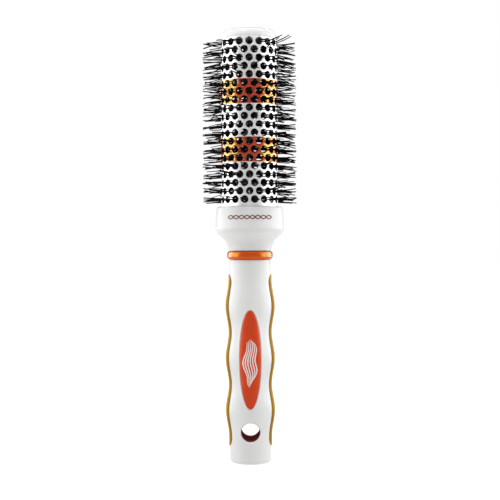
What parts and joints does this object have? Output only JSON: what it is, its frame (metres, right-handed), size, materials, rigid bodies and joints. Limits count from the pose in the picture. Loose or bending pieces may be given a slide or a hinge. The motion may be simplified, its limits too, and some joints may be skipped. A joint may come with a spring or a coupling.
{
  "type": "round barrel brush",
  "caption": "Round thermal hair brush: perforated coated barrel with nylon bristles through its holes, on a waved handle with side grips, a badge and a hang hole.",
  "frame": {"origin": "centre of the flat butt face, at the bottom of the handle", "axes": "+Z along the brush from the butt to the tip of the barrel, -Y towards the side with the badge, +X to the right seen from that side"},
  "size_m": [0.0528, 0.0526, 0.2448],
  "materials": {
    "white_plastic": "smooth satin white",
    "ceramic_coating": "pale ceramic coating on perforated aluminium, with two orange bands",
    "orange_gloss": "glossy metallic orange",
    "amber_grip": "soft satin amber",
    "brown_plastic": "plain moulded, dark brown",
    "black_nylon": "black nylon filament",
    "steel_wire": "drawn wire",
    "orange_badge": "glossy domed orange"
  },
  "bodies": {
    "root": {"barrel_tube": "ceramic_coating", "end_cap": "white_plastic", "collar": "white_plastic", "accent_ring": "orange_gloss", "handle_core": "brown_plastic", "handle_shell": "white_plastic", "side_grip_left": "amber_grip", "side_grip_right": "amber_grip", "front_badge": "orange_badge", "core_wire_a": "steel_wire", "core_wire_b": "steel_wire", "bristle_row_01": "black_nylon", "bristle_row_02": "black_nylon", "bristle_row_03": "black_nylon", "bristle_row_04": "black_nylon", "bristle_row_05": "black_nylon", "bristle_row_06": "black_nylon", "bristle_row_07": "black_nylon", "bristle_row_08": "black_nylon", "bristle_row_09": "black_nylon", "bristle_row_10": "black_nylon", "bristle_row_11": "black_nylon", "bristle_row_12": "black_nylon", "bristle_row_13": "black_nylon", "bristle_row_14": "black_nylon", "bristle_row_15": "black_nylon", "bristle_row_16": "black_nylon", "bristle_row_17": "black_nylon", "bristle_row_18": "black_nylon", "bristle_row_19": "black_nylon", "bristle_row_20": "black_nylon"}
  },
  "joints": []
}
